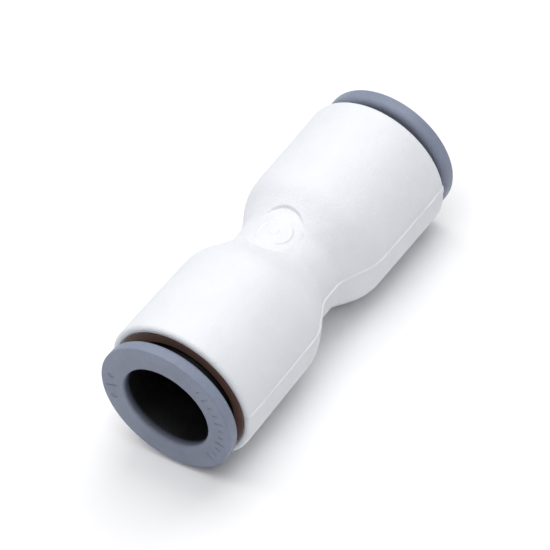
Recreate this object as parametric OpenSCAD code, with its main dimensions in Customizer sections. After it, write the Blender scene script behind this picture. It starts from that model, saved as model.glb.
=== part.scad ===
// Push fit coupling: two tube sockets back to back on the X axis, +Z out through the round pad
// on the waist, origin in the middle of the body. Each socket holds, from the middle outwards,
// a tube stop, a seal, a loose spacer ring, a toothed collet and the brown cartridge that
// keeps the collet in.

/* [Tube] */
// Outside diameter of the tube that pushes in
tube_d = 9.525; // [9.5:0.005:9.6]
// Diametral clearance of the tube in its seat and in the collet
tube_clearance = 0.175; // [0.16:0.005:0.2]
// Diameter of the flow passage between the two tube stops
passage_d = 6.4; // [5:0.1:7.5]
// Half the thickness of the stop between the two tubes
stop_half = 1.2; // [0.8:0.1:1.6]

/* [Body] */
// Distance from the middle to each mouth
body_half = 17.8; // [17.6:0.1:18.2]
// Radius of the barrel at the mouth
mouth_r = 8.1; // [8.1:0.05:8.5]
// Radius of the barrel where the shoulder meets it
shoulder_r = 7.95; // [7.9:0.01:8.05]
// Distance from the middle to the top of the shoulder
shoulder_x = 5.4; // [5:0.1:6]
// Radius of the waist
waist_r = 5.9; // [5.8:0.05:6.1]
// Half the length of the waist
waist_half = 1.45; // [1.2:0.05:2]
// Rounding where the waist meets the shoulders
waist_round = 2.5; // [1:0.1:3]
// Rounding where the shoulders meet the barrels
shoulder_round = 5; // [2:0.1:5.5]
// Rounding of the rim of each mouth
rim_round = 0.5; // [0.3:0.05:0.55]
// Radius of the round pad on the waist
pad_r = 3.05; // [2.8:0.05:3.3]
// Height of the pad's saddle above the axis in the middle
pad_mid = 6; // [5.95:0.05:6.1]
// Height of the pad's saddle above the axis at its ends on the shoulders
pad_end = 6.4; // [6.3:0.05:6.5]
// Height of the mould parting line above the surface
parting_h = 0.15; // [0.08:0.01:0.2]
// Width of the mould parting line
parting_w = 0.3; // [0.2:0.01:0.4]

/* [Socket] */
// Distance from the middle to the step where the seal sits
seal_step_x = 6.4; // [6.2:0.05:6.4]
// Radius of the seal chamber
chamber_r = 6.6; // [6.58:0.01:6.65]
// Distance from the middle to the step where the cartridge stops
cartridge_step_x = 11.1; // [11:0.05:11.1]
// Radius of the bore that takes the cartridge
mouth_bore_r = 7.05; // [7:0.01:7.1]
// Chamfer inside each mouth
mouth_chamfer = 0.4; // [0.2:0.05:0.45]
// Inside radius of the seal before a tube stretches it
seal_inner_r = 4.6; // [4.59:0.01:4.62]
// Width of the spacer ring
spacer_w = 1; // [0.8:0.05:1]

/* [Cartridge] */
// Inside radius of the cartridge at the mouth
cartridge_mouth_r = 6.1; // [6:0.05:6.2]
// Inside radius of the land that guides the collet
land_r = 5.8; // [5.78:0.01:5.85]
// Length of the cone that closes the collet's fingers
cone_length = 2.7; // [2.5:0.1:2.8]
// Growth of the cone's radius over its length
cone_rise = 0.75; // [0.7:0.01:0.75]

/* [Collet] */
// Radius of the collet's flange
flange_r = 7.55; // [7.4:0.05:7.7]
// Thickness of the flange
flange_t = 1.55; // [1.45:0.05:1.7]
// Gap between flange and mouth when the collet is out
flange_gap = 1; // [0.95:0.05:1.25]
// Rounding of the flange's back edge
flange_back_round = 0.7; // [0.3:0.05:0.75]
// Outside radius of the collet's sleeve
sleeve_r = 5.7; // [5.65:0.01:5.7]
// Number of fingers, with one steel tooth each
fingers = 6; // [6]
// Width of the slots between the fingers
slot_w = 0.9; // [0.7:0.05:1.1]
// Rounding of the rim inside the collet's mouth
lead_in = 0.25; // [0.15:0.05:0.6]

/* [Teeth] */
// Radius of the tooth tips before a tube spreads them
tooth_tip_r = 4.6; // [4.59:0.01:4.65]
// Thickness of the tooth plate
tooth_t = 0.3; // [0.25:0.05:0.35]
// Angle that one tooth covers round the axis
tooth_angle = 40; // [30:1:42]

/* [Hidden] */
$fn = 96;

white = [0.95, 0.96, 0.97];
collet_grey = [0.5, 0.53, 0.6];
brown = [0.25, 0.19, 0.16];
steel = [0.75, 0.76, 0.78];
black = [0.06, 0.06, 0.07];
natural = [0.86, 0.85, 0.8];

arc_steps = 8;
saddle_steps = 12;
eps = 0.01;
loose = 0.02;
running = 0.06;

tube_seat_r = (tube_d + tube_clearance) / 2;
seat_chamfer = 0.35;
collet_bore_r = tube_seat_r;
collet_face_x = body_half + flange_gap + flange_t;
flange_back_x = body_half + flange_gap;

seal_r = (chamber_r - loose - seal_inner_r) / 2;
seal_mid_r = (chamber_r - loose + seal_inner_r) / 2;
seal_x = seal_step_x + loose + seal_r;
spacer_x = seal_x + seal_r + loose;
spacer_inner_r = tube_seat_r + 0.1;
spacer_outer_r = chamber_r - 0.08;

cartridge_inner_x = cartridge_step_x + loose;
chamfer_start_x = body_half - mouth_chamfer;
lip_inset = 0.1;
cartridge_outer_x = body_half - lip_inset;
cartridge_r = mouth_bore_r - eps;
cone_outer_x = 13.9;
cone_inner_x = cone_outer_x - cone_length;
cone_slope = cone_rise / cone_length;
land_outer_x = 15.5;
land_chamfer = 0.3;
bead_x = 12.6;
bead_w = 0.8;
bead_h = 0.15;

head_inner_x = 11;
head_crest_x = 11.7;
head_nose_r = 5.95;
head_bore_r = collet_bore_r + 0.1;
head_bore_x = 14;
slot_end_x = 15.2;
sleeve_fillet = 0.3;
flange_front_round = 0.15;

tooth_tip_x = 12.15;
tooth_root_x = 12.85;
tooth_root_r = 5.72;
pocket_extra = 0.6;

function side_nodes(side) = concat(
    [str(side, "_cartridge"), str(side, "_seal"), str(side, "_spacer"), str(side, "_collet")],
    [for (k = [1:fingers]) str(side, "_tooth_", k)]
);

// Radius of the cartridge's cone at a distance x from the middle
function cone_r(x) = land_r + cone_slope * (cone_outer_x - x);

// Points of the arc that rounds the corner b of the path a, b, c, and touches both lines
function rounded(a, b, c, r) =
    let (
        u = (a - b) / norm(a - b),
        v = (c - b) / norm(c - b),
        half = acos(u * v) / 2,
        centre = b + (u + v) / norm(u + v) * r / sin(half),
        start = b + u * r / tan(half) - centre,
        end = b + v * r / tan(half) - centre,
        turn = 180 - 2 * half,
        way = start.x * end.y - start.y * end.x > 0 ? 1 : -1
    )
    [for (k = [0:arc_steps])
        let (s = way * turn * k / arc_steps)
        centre + [start.x * cos(s) - start.y * sin(s), start.x * sin(s) + start.y * cos(s)]];

// Turns an outline of [distance along X, radius] points about the X axis
module turned(outline, angle = 360) {
    rotate([90, 0, 90])
        rotate_extrude(angle = angle)
            polygon([for (p = outline) [p.y, p.x]]);
}

// A cylinder on the X axis from x0 to x1
module bore(x0, x1, r0, r1) {
    translate([x0, 0, 0])
        rotate([0, 90, 0])
            cylinder(h = x1 - x0, r1 = r0, r2 = r1);
}

// Puts a piece of the right socket in the socket that side names
module in_socket(side) {
    rotate([0, 0, side == "left" ? 180 : 0])
        children();
}

// Outline of half the body, raised by lift, from the middle out to the mouth
function body_outline(lift) =
    let (
        waist_mid = [0, waist_r + lift],
        waist_end = [waist_half, waist_r + lift],
        shoulder_end = [shoulder_x, shoulder_r + lift],
        rim = [body_half, mouth_r + lift],
        face = [body_half, 0]
    )
    concat(
        [[0, 0], waist_mid],
        rounded(waist_mid, waist_end, shoulder_end, waist_round),
        rounded(waist_end, shoulder_end, rim, shoulder_round),
        rounded(shoulder_end, rim, face, rim_round),
        [face]
    );

// Outline of the pad's saddle, which is lower in the middle than at its ends
function saddle_outline() =
    let (end = pad_r + 0.1)
    concat(
        [[-end, 0]],
        [for (k = [-saddle_steps:saddle_steps])
            let (x = end * k / saddle_steps)
            [x, pad_mid + (pad_end - pad_mid) * pow(x / pad_r, 2)]],
        [[end, 0]]
    );

module both_ends() {
    for (side = ["left", "right"])
        in_socket(side) children();
}

module pad_column() {
    translate([0, 0, waist_r / 2])
        cylinder(h = mouth_r, r = pad_r);
}

// Outside of the body: barrels, shoulders, waist and the saddle-shaped pad
module body_outside() {
    difference() {
        both_ends() turned(body_outline(0));
        pad_column();
    }
    intersection() {
        pad_column();
        turned(saddle_outline());
    }
    intersection() {
        both_ends() turned(body_outline(parting_h));
        cube([3 * body_half, 3 * mouth_r, parting_w], center = true);
    }
}

// Everything cut from the right half of the body
module socket_cavity() {
    bore(-eps, stop_half + eps, passage_d / 2, passage_d / 2);
    bore(stop_half, seal_step_x + eps, tube_seat_r, tube_seat_r);
    bore(seal_step_x - seat_chamfer, seal_step_x + eps, tube_seat_r, tube_seat_r + seat_chamfer);
    bore(seal_step_x, cartridge_step_x + eps, chamber_r, chamber_r);
    bore(cartridge_step_x, body_half + eps, mouth_bore_r, mouth_bore_r);
    bore(chamfer_start_x, body_half + eps, mouth_bore_r, mouth_bore_r + mouth_chamfer + eps);
    turned([
        [bead_x - bead_w / 2 - loose, mouth_bore_r - eps],
        [bead_x, mouth_bore_r + bead_h + loose],
        [bead_x + bead_w / 2 + loose, mouth_bore_r - eps],
        [bead_x, mouth_bore_r - 1]
    ]);
}

module body() {
    color(white)
        difference() {
            body_outside();
            both_ends() socket_cavity();
        }
}

// Brown sleeve pressed into the mouth: a lip in the mouth's chamfer and a snap bead outside, a
// guide land and a cone inside
module cartridge() {
    color(brown)
        turned([
            [cartridge_inner_x, cone_r(cone_inner_x)],
            [cone_inner_x, cone_r(cone_inner_x)],
            [cone_outer_x, land_r],
            [land_outer_x, land_r],
            [land_outer_x + land_chamfer, cartridge_mouth_r],
            [cartridge_outer_x, cartridge_mouth_r],
            [cartridge_outer_x, cartridge_r + mouth_chamfer - lip_inset],
            [chamfer_start_x, cartridge_r],
            [bead_x + bead_w / 2, cartridge_r],
            [bead_x, cartridge_r + bead_h],
            [bead_x - bead_w / 2, cartridge_r],
            [cartridge_inner_x, cartridge_r]
        ]);
}

// Rubber O-ring that seals on the tube
module seal() {
    color(black)
        rotate([0, 90, 0])
            translate([0, 0, seal_x])
                rotate_extrude()
                    translate([seal_mid_r, 0])
                        circle(r = seal_r);
}

// Loose ring that keeps the fingers off the seal
module spacer() {
    color(natural)
        difference() {
            bore(spacer_x, spacer_x + spacer_w, spacer_outer_r, spacer_outer_r);
            bore(spacer_x - eps, spacer_x + spacer_w + eps, spacer_inner_r, spacer_inner_r);
        }
}

// Section of a tooth plate that leans inwards to a tip ground parallel to the tube; gap grows it
// for its pocket
function tooth_section(gap) =
    let (
        tip = [tooth_tip_x, tooth_tip_r],
        root = [tooth_root_x, tooth_root_r],
        along = (root - tip) / norm(root - tip),
        half_t = tooth_t / 2 + gap,
        side = [along.y, -along.x] * half_t,
        tip_side = [half_t / along.y, 0],
        end = root + along * gap
    )
    [tip - tip_side, tip + tip_side, end + side, end - side];

module tooth_sector(gap, angle) {
    rotate([-angle / 2, 0, 0])
        turned(tooth_section(gap), angle);
}

module tooth(k) {
    color(steel)
        rotate([(k - 1) * 360 / fingers, 0, 0])
            tooth_sector(0, tooth_angle);
}

// Release button: flange, sleeve and fingers with conical heads
module collet() {
    sleeve_corner = [flange_back_x, sleeve_r];
    face_bore = [collet_face_x, collet_bore_r];
    outline = concat(
        [[head_inner_x, head_bore_r], [head_inner_x, head_nose_r]],
        [[head_crest_x, cone_r(head_crest_x) - running]],
        [[cone_outer_x + (land_r - running - sleeve_r) / cone_slope, sleeve_r]],
        rounded([head_bore_x, sleeve_r], sleeve_corner, [flange_back_x, flange_r], sleeve_fillet),
        rounded(sleeve_corner, [flange_back_x, flange_r], [collet_face_x, flange_r], flange_back_round),
        rounded([flange_back_x, flange_r], [collet_face_x, flange_r], face_bore, flange_front_round),
        rounded([collet_face_x, flange_r], face_bore, [head_bore_x, collet_bore_r], lead_in),
        [[head_bore_x, collet_bore_r]],
        [[head_bore_x - (head_bore_r - collet_bore_r), head_bore_r]]
    );
    color(collet_grey)
        difference() {
            turned(outline);
            for (k = [1:fingers]) {
                rotate([(k + 0.5) * 360 / fingers, 0, 0])
                    translate([head_inner_x - 1, 0, -slot_w / 2])
                        cube([slot_end_x - head_inner_x + 1, mouth_r, slot_w]);
                rotate([k * 360 / fingers, 0, 0])
                    tooth_sector(loose, tooth_angle + pocket_extra);
            }
        }
}

body();
for (side = ["left", "right"]) {
    in_socket(side) cartridge();
    in_socket(side) seal();
    in_socket(side) spacer();
    in_socket(side) collet();
    for (k = [1:fingers])
        in_socket(side) tooth(k);
}
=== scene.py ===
"""Looks of the push fit coupling: moulded body, cartridges, collets, rings, seals and teeth."""
import math

import bmesh
import bpy
import numpy as np
from mathutils import Matrix, Vector


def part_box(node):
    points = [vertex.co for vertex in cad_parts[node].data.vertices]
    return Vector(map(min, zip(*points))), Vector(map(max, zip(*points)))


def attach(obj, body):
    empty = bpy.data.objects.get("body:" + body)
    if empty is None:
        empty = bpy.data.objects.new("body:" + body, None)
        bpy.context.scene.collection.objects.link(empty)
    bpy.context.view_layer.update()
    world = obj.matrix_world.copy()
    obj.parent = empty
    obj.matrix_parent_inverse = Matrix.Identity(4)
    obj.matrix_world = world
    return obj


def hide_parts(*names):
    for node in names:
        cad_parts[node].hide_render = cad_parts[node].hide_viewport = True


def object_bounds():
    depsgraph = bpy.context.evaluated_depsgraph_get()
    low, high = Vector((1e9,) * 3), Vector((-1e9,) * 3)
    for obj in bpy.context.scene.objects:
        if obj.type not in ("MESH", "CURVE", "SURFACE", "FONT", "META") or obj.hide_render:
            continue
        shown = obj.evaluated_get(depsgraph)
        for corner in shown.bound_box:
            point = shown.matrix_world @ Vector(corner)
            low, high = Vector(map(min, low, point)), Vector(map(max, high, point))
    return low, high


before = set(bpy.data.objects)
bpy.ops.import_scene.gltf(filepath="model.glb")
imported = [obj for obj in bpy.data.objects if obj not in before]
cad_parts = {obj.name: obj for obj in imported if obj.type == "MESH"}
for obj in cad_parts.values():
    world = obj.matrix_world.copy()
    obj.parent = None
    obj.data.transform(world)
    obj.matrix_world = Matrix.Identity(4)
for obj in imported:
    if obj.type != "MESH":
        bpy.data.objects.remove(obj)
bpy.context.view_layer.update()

MM = 0.001
SIDES = ("left", "right")
FINGERS = 6

# ---------------------------------------------------------------- sizes, in millimetres
# Outer sizes come from the frame; the others repeat the design's own values.
# The right socket is described; the left one is its twin, turned end for end.


def top_mm(node):
    """Highest corner of a CAD node, in millimetres."""
    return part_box(node)[1] / MM


PARTING_H = 0.15
PARTING_W = 0.3
PARTING_WIDER_X = 14.5
BODY_HALF = top_mm("body").x
MOUTH_R = top_mm("body").y - PARTING_H
SHOULDER_R = MOUTH_R - 0.15
SHOULDER_X = 5.4
SHOULDER_ROUND = 5.0
WAIST_R = 5.9
WAIST_HALF = 1.45
WAIST_ROUND = 2.5
RIM_ROUND = 0.5

PAD_R = 3.05
PAD_MID = 6.0
PAD_END = 6.4
EMBLEM_H = 0.08
EMBLEM_DOT_R = 0.62
EMBLEM_ARC_R = 1.75
EMBLEM_ARC_HALF_W = 0.2
EMBLEM_ARC_GAP = 0.75

TUBE_SEAT_R = 4.85
TUBE_SEAT_LEAD = 0.35
PASSAGE_R = 3.2
STOP_HALF = 1.2
SEAL_STEP_X = 6.4
CHAMBER_R = 6.6
CARTRIDGE_STEP_X = 11.1
MOUTH_BORE_R = 7.05
MOUTH_CHAMFER = 0.4

LAND_R = 5.8
LAND_OUTER_X = 15.5
LAND_TAPER = 0.3
CONE_OUTER_X = 13.9
CONE_LENGTH = 2.7
CONE_SLOPE = 0.75 / CONE_LENGTH
CARTRIDGE_MOUTH_R = 6.1
CARTRIDGE_FACE_X = top_mm("right_cartridge").x
CARTRIDGE_INNER_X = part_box("right_cartridge")[0].x / MM
CARTRIDGE_R = MOUTH_BORE_R - 0.02
LIP_INSET = 0.1

COLLET_FACE_X = top_mm("right_collet").x
FLANGE_R = top_mm("right_collet").y
FLANGE_T = 1.55
FLANGE_BACK_ROUND = 0.7
FLANGE_FRONT_ROUND = 0.15
SLEEVE_R = 5.7
HEAD_INNER_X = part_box("right_collet")[0].x / MM
HEAD_CREST_X = 11.7
HEAD_NOSE_R = 5.95
HEAD_BORE_R = TUBE_SEAT_R + 0.1
HEAD_BORE_X = 13.9
HEAD_BORE_TAPER = 0.1
SLOT_END_X = 15.2
SLOT_W = 0.9
RUNNING = 0.06

MARKS_R = 6.4
MARKS_DEPTH = 0.09
TICKS = 11
FIRST_TICK_DEGREES = -46
TICK_SPACING_DEGREES = 9
TICK_HALF_W = 0.15
LONG_TICK_HALF = 0.55
SHORT_TICK_HALF = 0.3
DOT_DEGREES = (164.0, 190.0)
DOT_R = 0.42
SLASH_DEGREES = 177.0
SLASH_LEAN = 0.35
SLASH_HALF_W = 0.14
SLASH_HALF = 0.65

SPACER_IN_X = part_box("right_spacer")[0].x / MM
SPACER_OUT_X = top_mm("right_spacer").x
SPACER_R = top_mm("right_spacer").y
SPACER_BORE_R = TUBE_SEAT_R + 0.1


# ---------------------------------------------------------------- outlines
def cone_r(x):
    """Radius of the cartridge's inner cone at a distance x from the middle."""
    return LAND_R + CONE_SLOPE * (CONE_OUTER_X - x)


def rounded_outline(corners, steps=6):
    """Closed outline through (x, radius, rounding) corners, each rounded by an arc."""
    points = []
    count = len(corners)
    for i, (x, r, rounding) in enumerate(corners):
        here = np.array([x, r])
        before = np.array(corners[i - 1][:2]) - here
        after = np.array(corners[(i + 1) % count][:2]) - here
        u = before / np.linalg.norm(before)
        v = after / np.linalg.norm(after)
        half = math.acos(max(-1.0, min(1.0, float(u @ v)))) / 2
        almost_straight = half > math.radians(89.5)
        if rounding <= 0 or almost_straight:
            points.append(here)
            continue
        centre = here + (u + v) / np.linalg.norm(u + v) * rounding / math.sin(half)
        start = here + u * rounding / math.tan(half) - centre
        end = here + v * rounding / math.tan(half) - centre
        first = math.atan2(start[1], start[0])
        turn = math.atan2(end[1], end[0]) - first
        turn = (turn + math.pi) % (2 * math.pi) - math.pi
        for k in range(steps + 1):
            a = first + turn * k / steps
            points.append(centre + rounding * np.array([math.cos(a), math.sin(a)]))
    return np.array(points)


def subdivided(outline, longest):
    """The closed outline with every stretch cut to at most longest(middle of the stretch)."""
    points = []
    for a, b in zip(outline, np.roll(outline, -1, axis=0)):
        length = np.linalg.norm(b - a)
        if length < 1e-6:
            continue
        pieces = max(1, math.ceil(length / longest((a + b) / 2)))
        points += [a + (b - a) * k / pieces for k in range(pieces)]
    return np.array(points)


def smooth(t):
    """0 to 1 with flat ends."""
    t = np.clip(t, 0.0, 1.0)
    return t * t * (3 - 2 * t)


# ---------------------------------------------------------------- meshes
def columns(stretches):
    """Angles round the axis in degrees, from (start, end, step) stretches that join up."""
    return np.concatenate([np.arange(a, b - 1e-6, step) for a, b, step in stretches])


def make_object(name, verts, faces):
    """A smooth-shaded object with its faces turned outwards."""
    mesh = bpy.data.meshes.new(name)
    mesh.from_pydata(verts, [], faces)
    mesh.validate()
    work = bmesh.new()
    work.from_mesh(mesh)
    bmesh.ops.recalc_face_normals(work, faces=work.faces)
    if work.calc_volume(signed=True) < 0:
        bmesh.ops.reverse_faces(work, faces=work.faces)
    work.to_mesh(mesh)
    work.free()
    mesh.shade_smooth()
    piece = bpy.data.objects.new(name, mesh)
    bpy.context.scene.collection.objects.link(piece)
    return piece


def turned(name, outline, degrees, shape=None, turn_at=None, slots=None):
    """Turns a closed (x, radius) outline, in mm, about the X axis.

    shape(x, r, t) returns x and r with detail added; turn_at(r, t) bends the columns;
    slots is (the x where the fingers' slots end, the set of column numbers inside them).
    """
    t = np.radians(degrees)
    x = np.repeat(outline[:, :1], len(t), axis=1)
    r = np.repeat(outline[:, 1:], len(t), axis=1)
    t = np.repeat(t[None, :], len(outline), axis=0)
    if turn_at:
        t = turn_at(r, t)
    if shape:
        x, r = shape(x, r, t)
    verts = np.stack([x, r * np.cos(t), r * np.sin(t)], -1).reshape(-1, 3) * MM
    rows, cols = x.shape
    faces = []

    def at(i, j):
        return (i % rows) * cols + j % cols

    open_rows, open_columns = set(), set()
    if slots:
        end_x, open_columns = slots
        inside = outline[:, 0] < end_x + 1e-6
        open_rows = {i for i in range(rows) if inside[i] and inside[(i + 1) % rows]}
        first = next(i for i in range(rows) if inside[i] and not inside[i - 1])
        loop = [first]
        while inside[(loop[-1] + 1) % rows]:
            loop.append((loop[-1] + 1) % rows)
        last = loop[-1]
        for j in range(cols):
            if (j in open_columns) != ((j - 1) % cols in open_columns):
                wall = [at(i, j) for i in loop]
                faces.append(wall if j in open_columns else wall[::-1])
            if j in open_columns:
                faces.append([at(first, j), at(first, j + 1), at(last, j + 1), at(last, j)])
    for i in range(rows):
        for j in range(cols):
            if i in open_rows and j in open_columns:
                continue
            faces.append([at(i, j), at(i + 1, j), at(i + 1, j + 1), at(i, j + 1)])
    used = sorted({v for face in faces for v in face})
    if len(used) < len(verts):
        renumbered = {v: k for k, v in enumerate(used)}
        verts = verts[used]
        faces = [[renumbered[v] for v in face] for face in faces]
    return make_object(name, verts.tolist(), faces)


def both_sides(name, build):
    """Builds a piece of the right socket and its twin, turned end for end, for the left."""
    pieces = {}
    for side in SIDES:
        piece = build(f"{side}_{name}")
        if side == "left":
            piece.data.transform(Matrix.Rotation(math.pi, 4, "Z"))
        pieces[side] = piece
    return pieces


def keep_crisp(piece):
    """Keeps flat faces flat next to the small roundings."""
    crisp = piece.modifiers.new("flat_faces", "WEIGHTED_NORMAL")
    crisp.weight = 60
    crisp.keep_sharp = True


# ---------------------------------------------------------------- body
def body_outline():
    """Closed outline of the whole body: along the inside, and back along the outside."""
    half_in = [
        (STOP_HALF, PASSAGE_R, 0.25),
        (STOP_HALF, TUBE_SEAT_R, 0.2),
        (SEAL_STEP_X - TUBE_SEAT_LEAD, TUBE_SEAT_R, 0.1),
        (SEAL_STEP_X, TUBE_SEAT_R + TUBE_SEAT_LEAD, 0.1),
        (SEAL_STEP_X, CHAMBER_R, 0.2),
        (CARTRIDGE_STEP_X, CHAMBER_R, 0.08),
        (CARTRIDGE_STEP_X, MOUTH_BORE_R, 0.05),
        (BODY_HALF - MOUTH_CHAMFER, MOUTH_BORE_R, 0.1),
        (BODY_HALF, MOUTH_BORE_R + MOUTH_CHAMFER, 0.15),
    ]
    half_out = [
        (BODY_HALF, MOUTH_R, RIM_ROUND),
        (SHOULDER_X, SHOULDER_R, SHOULDER_ROUND),
        (WAIST_HALF, WAIST_R, WAIST_ROUND),
    ]
    right = half_in + half_out
    left = [(-x, r, rounding) for x, r, rounding in reversed(right)]
    outline = rounded_outline(right + left, steps=9)

    def longest(p):
        near_pad = p[1] > WAIST_R - 0.2 and abs(p[0]) < PAD_R + 0.5
        return 0.055 if near_pad else 0.5

    return subdivided(outline, longest)


def saddle(x, y):
    """Radius of the pad's saddle, which sinks to the waist's own radius at the pad's sides."""
    end = (x / PAD_R) ** 2
    side = smooth((np.abs(y) - 0.6) / 2.0) * np.clip(1 - end, 0, 1)
    return PAD_MID + (PAD_END - PAD_MID) * end - (PAD_MID - WAIST_R) * side


def emblem(x, y):
    """Height, 0 to 1, of the generic mark on the pad: a round dot between two arcs."""
    from_middle = np.hypot(x, y)
    on_ring = smooth((EMBLEM_ARC_HALF_W - np.abs(from_middle - EMBLEM_ARC_R)) / 0.16)
    arcs = on_ring * smooth((np.abs(y) - EMBLEM_ARC_GAP) / 0.3)
    dot = smooth((EMBLEM_DOT_R - from_middle) / 0.2)
    return np.maximum(arcs, dot)


def body_detail(x, r, t):
    """Adds the pad with its emblem and the parting line to the outside of the body."""
    near_middle = (r > WAIST_R - 0.01) & (np.abs(x) < SHOULDER_X + 0.3)
    on_barrel = r > MOUTH_BORE_R + MOUTH_CHAMFER + 0.05
    outer = near_middle | on_barrel
    y = r * np.cos(t)
    pad_r = saddle(x, y)
    # The pad's edge is crisp on the shoulders and melts into the waist at its two sides
    edge = 0.1 + 0.9 * np.clip(np.abs(y) / PAD_R, 0, 1) ** 4
    on_pad = smooth((PAD_R - np.hypot(x, y)) / edge) * (np.sin(t) > 0) * outer
    r = r + on_pad * (pad_r + EMBLEM_H * emblem(x, y) - r)
    # The parting line is a lip: steep towards +Z, easing off downwards, and wider at the mouths
    z = r * np.sin(t)
    half_w = PARTING_W / 2 * (1 + 0.8 * smooth((np.abs(x) - PARTING_WIDER_X) / 2.5))
    above = smooth((half_w + 0.06 - z) / 0.12)
    below = smooth((z + half_w + 0.3) / 0.3)
    waver = 0.85 + 0.15 * np.sin(x * 1.7 + 0.6) * np.sin(x * 0.53)
    r = r + PARTING_H * waver * above * below * outer
    return x, r


def build_body():
    """The body, with close columns at the parting lines (0 and 180 degrees) and the pad (90)."""
    at_parting = 0.25
    at_pad = 0.45
    degrees = columns([
        (-5.0, 2.5, at_parting),
        (2.5, 57.7, 2.76),
        (57.7, 122.2, at_pad),
        (122.2, 177.5, 2.765),
        (177.5, 185.0, at_parting),
        (185.0, 355.0, 2.7869),
    ])
    piece = turned("moulded_body", body_outline(), degrees, shape=body_detail)
    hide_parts("body")
    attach(piece, "housing")
    return piece


# ---------------------------------------------------------------- cartridges
def build_cartridge(name):
    outline = rounded_outline([
        (CARTRIDGE_INNER_X, cone_r(CONE_OUTER_X - CONE_LENGTH), 0.04),
        (CONE_OUTER_X, LAND_R, 0.4),
        (LAND_OUTER_X, LAND_R, 0.15),
        (LAND_OUTER_X + LAND_TAPER, CARTRIDGE_MOUTH_R, 0.15),
        (CARTRIDGE_FACE_X, CARTRIDGE_MOUTH_R, 0.12),
        (CARTRIDGE_FACE_X, CARTRIDGE_R + MOUTH_CHAMFER - LIP_INSET, 0.08),
        (BODY_HALF - MOUTH_CHAMFER, CARTRIDGE_R, 0),
        (CARTRIDGE_INNER_X, CARTRIDGE_R, 0.05),
    ])
    return turned(name, subdivided(outline, lambda p: 0.6), np.arange(0, 360, 2.0))


# ---------------------------------------------------------------- collets
def face_marks(x, r, t):
    """Generic engraved marks on the flange's face: a slash between two dots, and ticks."""
    degrees = (np.degrees(t) + 90) % 360 - 90
    on_face = smooth((x - (COLLET_FACE_X - 0.04)) / 0.03)
    out = r - MARKS_R

    def across(middle):
        """Distance round the face from a direction in degrees."""
        return r * np.radians(degrees - middle)

    depth = np.zeros_like(x)
    for k in range(TICKS):
        aside = np.abs(across(FIRST_TICK_DEGREES + TICK_SPACING_DEGREES * k))
        half_length = LONG_TICK_HALF if k % 3 == 0 else SHORT_TICK_HALF
        tick = smooth((TICK_HALF_W - aside) / 0.08) * smooth((half_length - np.abs(out)) / 0.1)
        depth = np.maximum(depth, tick)
    for middle in DOT_DEGREES:
        dot = smooth((DOT_R - np.hypot(across(middle) / 0.8, out)) / 0.14)
        depth = np.maximum(depth, dot)
    aside = np.abs(across(SLASH_DEGREES) - SLASH_LEAN * out)
    slash = smooth((SLASH_HALF_W - aside) / 0.08) * smooth((SLASH_HALF - np.abs(out)) / 0.1)
    depth = np.maximum(depth, slash)
    return x - MARKS_DEPTH * depth * on_face, r


def degrees_apart(a, b):
    return abs((a - b + 180) % 360 - 180)


def build_collet(name):
    head_end_x = CONE_OUTER_X + (LAND_R - RUNNING - SLEEVE_R) / CONE_SLOPE
    outline = rounded_outline([
        (HEAD_INNER_X, HEAD_BORE_R, 0.08),
        (HEAD_INNER_X, HEAD_NOSE_R, 0.2),
        (HEAD_CREST_X, cone_r(HEAD_CREST_X) - RUNNING, 0.15),
        (head_end_x, SLEEVE_R, 0.5),
        (SLOT_END_X, SLEEVE_R, 0),
        (COLLET_FACE_X - FLANGE_T, SLEEVE_R, 0.3),
        (COLLET_FACE_X - FLANGE_T, FLANGE_R, FLANGE_BACK_ROUND),
        (COLLET_FACE_X, FLANGE_R, FLANGE_FRONT_ROUND),
        (COLLET_FACE_X, TUBE_SEAT_R, 0.25),
        (SLOT_END_X, TUBE_SEAT_R, 0),
        (HEAD_BORE_X + HEAD_BORE_TAPER, TUBE_SEAT_R, 0.1),
        (HEAD_BORE_X, HEAD_BORE_R, 0.1),
    ])

    def longest(p):
        under_marks = p[0] > COLLET_FACE_X - 0.01 and 5.6 < p[1] < 7.1
        return 0.07 if under_marks else 0.6

    outline = subdivided(outline, longest)
    half_slot = math.degrees(math.asin(SLOT_W / 2 / SLEEVE_R))
    centres = [(k - 0.5) * 360 / FINGERS for k in range(FINGERS)]
    at_marks = 0.5
    elsewhere = 2.0
    plain = columns([
        (-54, 50, at_marks),
        (50, 156, elsewhere),
        (156, 200, at_marks),
        (200, 306, elsewhere),
    ])
    degrees = [
        d for d in plain
        if min(degrees_apart(d, c) for c in centres) > half_slot + 0.4
    ]
    for c in centres:
        degrees += list(np.linspace(c - half_slot, c + half_slot, 13))
    degrees = np.array(sorted(degrees))
    open_columns = {
        j for j, d in enumerate(degrees)
        if min(degrees_apart(d, c) for c in centres) < half_slot + 0.01
        and any(degrees_apart(d + 0.01, c) < half_slot for c in centres)
    }

    def straight_slots(r, t):
        """Keeps the slots' walls parallel, so the slot is as wide inside as outside."""
        out = t.copy()
        for c in np.radians(centres):
            off = (t - c + math.pi) % (2 * math.pi) - math.pi
            near = np.abs(off) < math.radians(half_slot + 0.01)
            width = np.clip(SLEEVE_R * np.sin(off) / r, -1, 1)
            out = np.where(near, c + np.arcsin(width), out)
        return out

    return turned(name, outline, degrees, shape=face_marks, turn_at=straight_slots,
                  slots=(SLOT_END_X, open_columns))


# ---------------------------------------------------------------- spacer rings
def build_spacer(name):
    outline = rounded_outline([
        (SPACER_IN_X, SPACER_BORE_R, 0.15),
        (SPACER_IN_X, SPACER_R, 0.15),
        (SPACER_OUT_X, SPACER_R, 0.15),
        (SPACER_OUT_X, SPACER_BORE_R, 0.15),
    ])
    return turned(name, subdivided(outline, lambda p: 0.4), np.arange(0, 360, 3.0))


# ---------------------------------------------------------------- materials
NOISE_ROUGHNESS = 0.55


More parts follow.
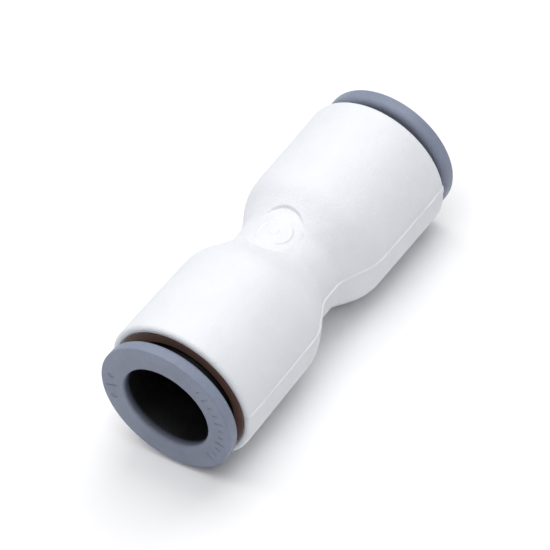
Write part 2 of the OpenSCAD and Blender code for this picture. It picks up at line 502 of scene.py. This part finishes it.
class Nodes:
    """A short way to build a procedural material round one Principled shader."""

    def __init__(self, name):
        self.material = bpy.data.materials.new(name)
        self.material.use_nodes = True
        self.tree = self.material.node_tree
        self.shader = self.tree.nodes["Principled BSDF"]
        self.place = self.tree.nodes.new("ShaderNodeTexCoord").outputs["Object"]

    def set(self, **values):
        for key, value in values.items():
            self.shader.inputs[key.replace("_", " ")].default_value = value

    def noise(self, size_mm, detail=3.0):
        node = self.tree.nodes.new("ShaderNodeTexNoise")
        node.inputs["Scale"].default_value = 1 / (size_mm * MM)
        node.inputs["Detail"].default_value = detail
        node.inputs["Roughness"].default_value = NOISE_ROUGHNESS
        self.tree.links.new(self.place, node.inputs["Vector"])
        return node.outputs["Fac"]

    def range(self, value, low, high, new_low, new_high):
        node = self.tree.nodes.new("ShaderNodeMapRange")
        node.inputs["From Min"].default_value = low
        node.inputs["From Max"].default_value = high
        node.inputs["To Min"].default_value = new_low
        node.inputs["To Max"].default_value = new_high
        self.tree.links.new(value, node.inputs["Value"])
        return node.outputs["Result"]

    def colours(self, value, stops):
        node = self.tree.nodes.new("ShaderNodeValToRGB")
        for element, (place, colour) in zip(node.color_ramp.elements, stops):
            element.position = place
            element.color = (*colour, 1)
        self.tree.links.new(value, node.inputs["Fac"])
        return node.outputs["Color"]

    def darkened(self, colour, dark, amount):
        node = self.tree.nodes.new("ShaderNodeMix")
        node.data_type = "RGBA"
        self.tree.links.new(amount, node.inputs[0])
        self.tree.links.new(colour, node.inputs[6])
        node.inputs[7].default_value = (*dark, 1)
        return node.outputs[2]

    def product(self, a, b):
        node = self.tree.nodes.new("ShaderNodeMath")
        node.operation = "MULTIPLY"
        self.tree.links.new(a, node.inputs[0])
        self.tree.links.new(b, node.inputs[1])
        return node.outputs[0]

    def add(self, a, b, share):
        """a plus that share of b."""
        node = self.tree.nodes.new("ShaderNodeMath")
        node.operation = "MULTIPLY_ADD"
        self.tree.links.new(b, node.inputs[0])
        node.inputs[1].default_value = share
        self.tree.links.new(a, node.inputs[2])
        return node.outputs[0]

    def from_middle(self):
        """Distance from the middle along X, and distance from the X axis, both in metres."""
        parts = self.tree.nodes.new("ShaderNodeSeparateXYZ")
        self.tree.links.new(self.place, parts.inputs[0])
        along = self.tree.nodes.new("ShaderNodeMath")
        along.operation = "ABSOLUTE"
        self.tree.links.new(parts.outputs["X"], along.inputs[0])
        across = self.tree.nodes.new("ShaderNodeCombineXYZ")
        for axis in "YZ":
            self.tree.links.new(parts.outputs[axis], across.inputs[axis])
        length = self.tree.nodes.new("ShaderNodeVectorMath")
        length.operation = "LENGTH"
        self.tree.links.new(across.outputs[0], length.inputs[0])
        return along.outputs[0], length.outputs["Value"]

    def bump(self, height, depth_mm):
        node = self.tree.nodes.new("ShaderNodeBump")
        node.inputs["Distance"].default_value = depth_mm * MM
        self.tree.links.new(height, node.inputs["Height"])
        self.tree.links.new(node.outputs["Normal"], self.shader.inputs["Normal"])

    def feed(self, value, socket):
        self.tree.links.new(value, self.shader.inputs[socket])


def scaled(colour, factor):
    return tuple(min(1.0, c * factor) for c in colour)


def moulded_plastic(name, colour, rough, mottle, grain_mm, grain_depth_mm, depth_dark=0):
    """Moulded acetal: faint cloudy colour, fine satin grain, and a slow ripple from the mould.

    depth_dark is the share of the colour that is left deep in the collet's bore and on its
    sleeve behind the flange. It stands for shade: the photo's bore is nearly black.
    """
    m = Nodes(name)
    m.set(IOR=1.48)
    cloud = m.noise(3.0, detail=4.0)
    fine = m.noise(0.35, detail=2.0)
    mixed = m.add(cloud, fine, 0.25)
    shades = [(0.35, scaled(colour, 1 - mottle)), (0.9, scaled(colour, 1 + mottle))]
    tone = m.colours(mixed, shades)
    if depth_dark:
        starts_x, ends_x = COLLET_FACE_X + 0.05, COLLET_FACE_X - 0.95
        starts_r, ends_r = SLEEVE_R + 0.8, SLEEVE_R + 0.5
        along, across = m.from_middle()
        deep = m.range(along, starts_x * MM, ends_x * MM, 0.0, 1.0)
        inner = m.range(across, starts_r * MM, ends_r * MM, 0.0, 1.0)
        tone = m.darkened(tone, scaled(colour, depth_dark), m.product(deep, inner))
    m.feed(tone, "Base Color")
    m.feed(m.range(m.noise(0.9), 0.3, 0.7, rough - 0.05, rough + 0.06), "Roughness")
    grain = m.noise(grain_mm, detail=2.0)
    ripple = m.noise(2.2, detail=1.0)
    m.bump(m.add(grain, ripple, 1.5), grain_depth_mm)
    return m.material


def white_acetal():
    return moulded_plastic("white_acetal", (0.815, 0.835, 0.875), rough=0.5, mottle=0.02,
                           grain_mm=0.2, grain_depth_mm=0.055)


def grey_acetal():
    return moulded_plastic("grey_acetal", (0.228, 0.260, 0.350), rough=0.46, mottle=0.09,
                           grain_mm=0.16, grain_depth_mm=0.08, depth_dark=0.01)


def brown_acetal():
    return moulded_plastic("brown_acetal", (0.165, 0.092, 0.070), rough=0.5, mottle=0.1,
                           grain_mm=0.15, grain_depth_mm=0.008)


def natural_acetal():
    return moulded_plastic("natural_acetal", (0.62, 0.60, 0.53), rough=0.4, mottle=0.03,
                           grain_mm=0.15, grain_depth_mm=0.005)


def wet_rubber():
    m = Nodes("lubricated_rubber")
    m.set(IOR=1.5)
    shades = [(0.3, (0.012, 0.012, 0.013)), (0.8, (0.022, 0.022, 0.023))]
    m.feed(m.colours(m.noise(0.8), shades), "Base Color")
    m.feed(m.range(m.noise(0.6), 0.3, 0.7, 0.22, 0.4), "Roughness")
    m.bump(m.noise(0.12), 0.004)
    return m.material


def stamped_steel():
    m = Nodes("stamped_steel")
    m.set(Metallic=1.0)
    shades = [(0.3, (0.52, 0.52, 0.54)), (0.8, (0.66, 0.66, 0.67))]
    m.feed(m.colours(m.noise(0.5), shades), "Base Color")
    m.feed(m.range(m.noise(0.2), 0.3, 0.7, 0.24, 0.38), "Roughness")
    m.bump(m.noise(0.08), 0.003)
    return m.material


def finish_with(piece, material):
    piece.data.materials.clear()
    piece.data.materials.append(material)
    keep_crisp(piece)


def finish_cad_node(node, material):
    """Gives a carried-over CAD node its material."""
    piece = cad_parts[node]
    if not piece.material_slots:
        piece.data.materials.append(material)
    for slot in piece.material_slots:
        slot.material = material
    piece.data.shade_smooth()


# ---------------------------------------------------------------- building
finish_with(build_body(), white_acetal())

for name, node, build, carrier, slot, material in (
    ("sleeve", "cartridge", build_cartridge, "housing", "cartridge_brown", brown_acetal()),
    ("release_button", "collet", build_collet, "{side}_button", "collet_grey", grey_acetal()),
    ("loose_ring", "spacer", build_spacer, "{side}_ring", "spacer_natural", natural_acetal()),
):
    for side, piece in both_sides(name, build).items():
        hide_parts(f"{side}_{node}")
        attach(piece, carrier.format(side=side))
        finish_with(piece, material)

rubber = wet_rubber()
steel = stamped_steel()
for side in SIDES:
    finish_cad_node(f"{side}_seal", rubber)
    for k in range(1, FINGERS + 1):
        finish_cad_node(f"{side}_tooth_{k}", steel)


# ---------------------------------------------------------------- camera, floor and light
CAMERA_AZIMUTH = -49.24
CAMERA_ELEVATION = 44.03
CAMERA_ROLL = 10.25
CAMERA_DISTANCE = 40.11 * MOUTH_R * MM
CAMERA_LENS = 214.4
CAMERA_AIM = Vector((-0.060, 0.057, 0.014)) * MOUTH_R * MM

FLOOR_SIZE = 6
FLOOR_GAP = 0.00005

SOFTBOX_DISTANCE = 0.9
SOFTBOX_WIDTH = 0.8
# name, azimuth and elevation in degrees, power in watts
SOFTBOXES = (
    ("above_camera", -49, 70, 5.7),
    ("far_end", 90, 60, 5.1),
    ("back", 180, 45, 2.3),
    ("near_back", -135, 30, 0.9),
)


def direction(azimuth, elevation):
    """Unit vector from the object towards a viewer at that azimuth and elevation, in degrees."""
    a, e = math.radians(azimuth), math.radians(elevation)
    return Vector((math.sin(a) * math.cos(e), -math.cos(a) * math.cos(e), math.sin(e)))


def make_camera():
    data = bpy.data.cameras.new("camera")
    data.lens = CAMERA_LENS
    data.sensor_width = 36
    data.clip_start = 0.01
    data.clip_end = 10
    camera = bpy.data.objects.new("camera", data)
    bpy.context.scene.collection.objects.link(camera)
    back = direction(CAMERA_AZIMUTH, CAMERA_ELEVATION)
    camera.location = CAMERA_AIM + back * CAMERA_DISTANCE
    level = (-back).to_track_quat("-Z", "Y").to_matrix()
    roll = Matrix.Rotation(math.radians(-CAMERA_ROLL), 3, "Z")
    camera.rotation_euler = (level @ roll).to_euler()
    bpy.context.scene.camera = camera


def make_floor():
    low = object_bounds()[0].z
    bpy.ops.mesh.primitive_plane_add(size=FLOOR_SIZE, location=(0, 0, low - FLOOR_GAP))
    floor = bpy.context.object
    floor.name = "floor"
    m = Nodes("pale_floor")
    m.set(Base_Color=(0.92, 0.92, 0.93, 1), Roughness=0.9)
    m.set(Emission_Color=(1, 1, 1, 1), Emission_Strength=0.04)
    floor.data.materials.append(m.material)


def make_softbox(name, azimuth, elevation, power):
    data = bpy.data.lights.new(name, "AREA")
    data.shape = "SQUARE"
    data.size = SOFTBOX_WIDTH
    data.energy = power
    light = bpy.data.objects.new(name, data)
    back = direction(azimuth, elevation)
    light.location = back * SOFTBOX_DISTANCE
    light.rotation_euler = (-back).to_track_quat("-Z", "Y").to_euler()
    bpy.context.scene.collection.objects.link(light)


def make_world():
    """Surroundings that give no light, so only the softboxes and the floor do."""
    world = bpy.data.worlds.new("studio")
    world.use_nodes = True
    world.node_tree.nodes["Background"].inputs["Strength"].default_value = 0.0
    bpy.context.scene.world = world


make_camera()
make_floor()
for softbox in SOFTBOXES:
    make_softbox(*softbox)
make_world()
bpy.context.scene.view_settings.view_transform = "Standard"
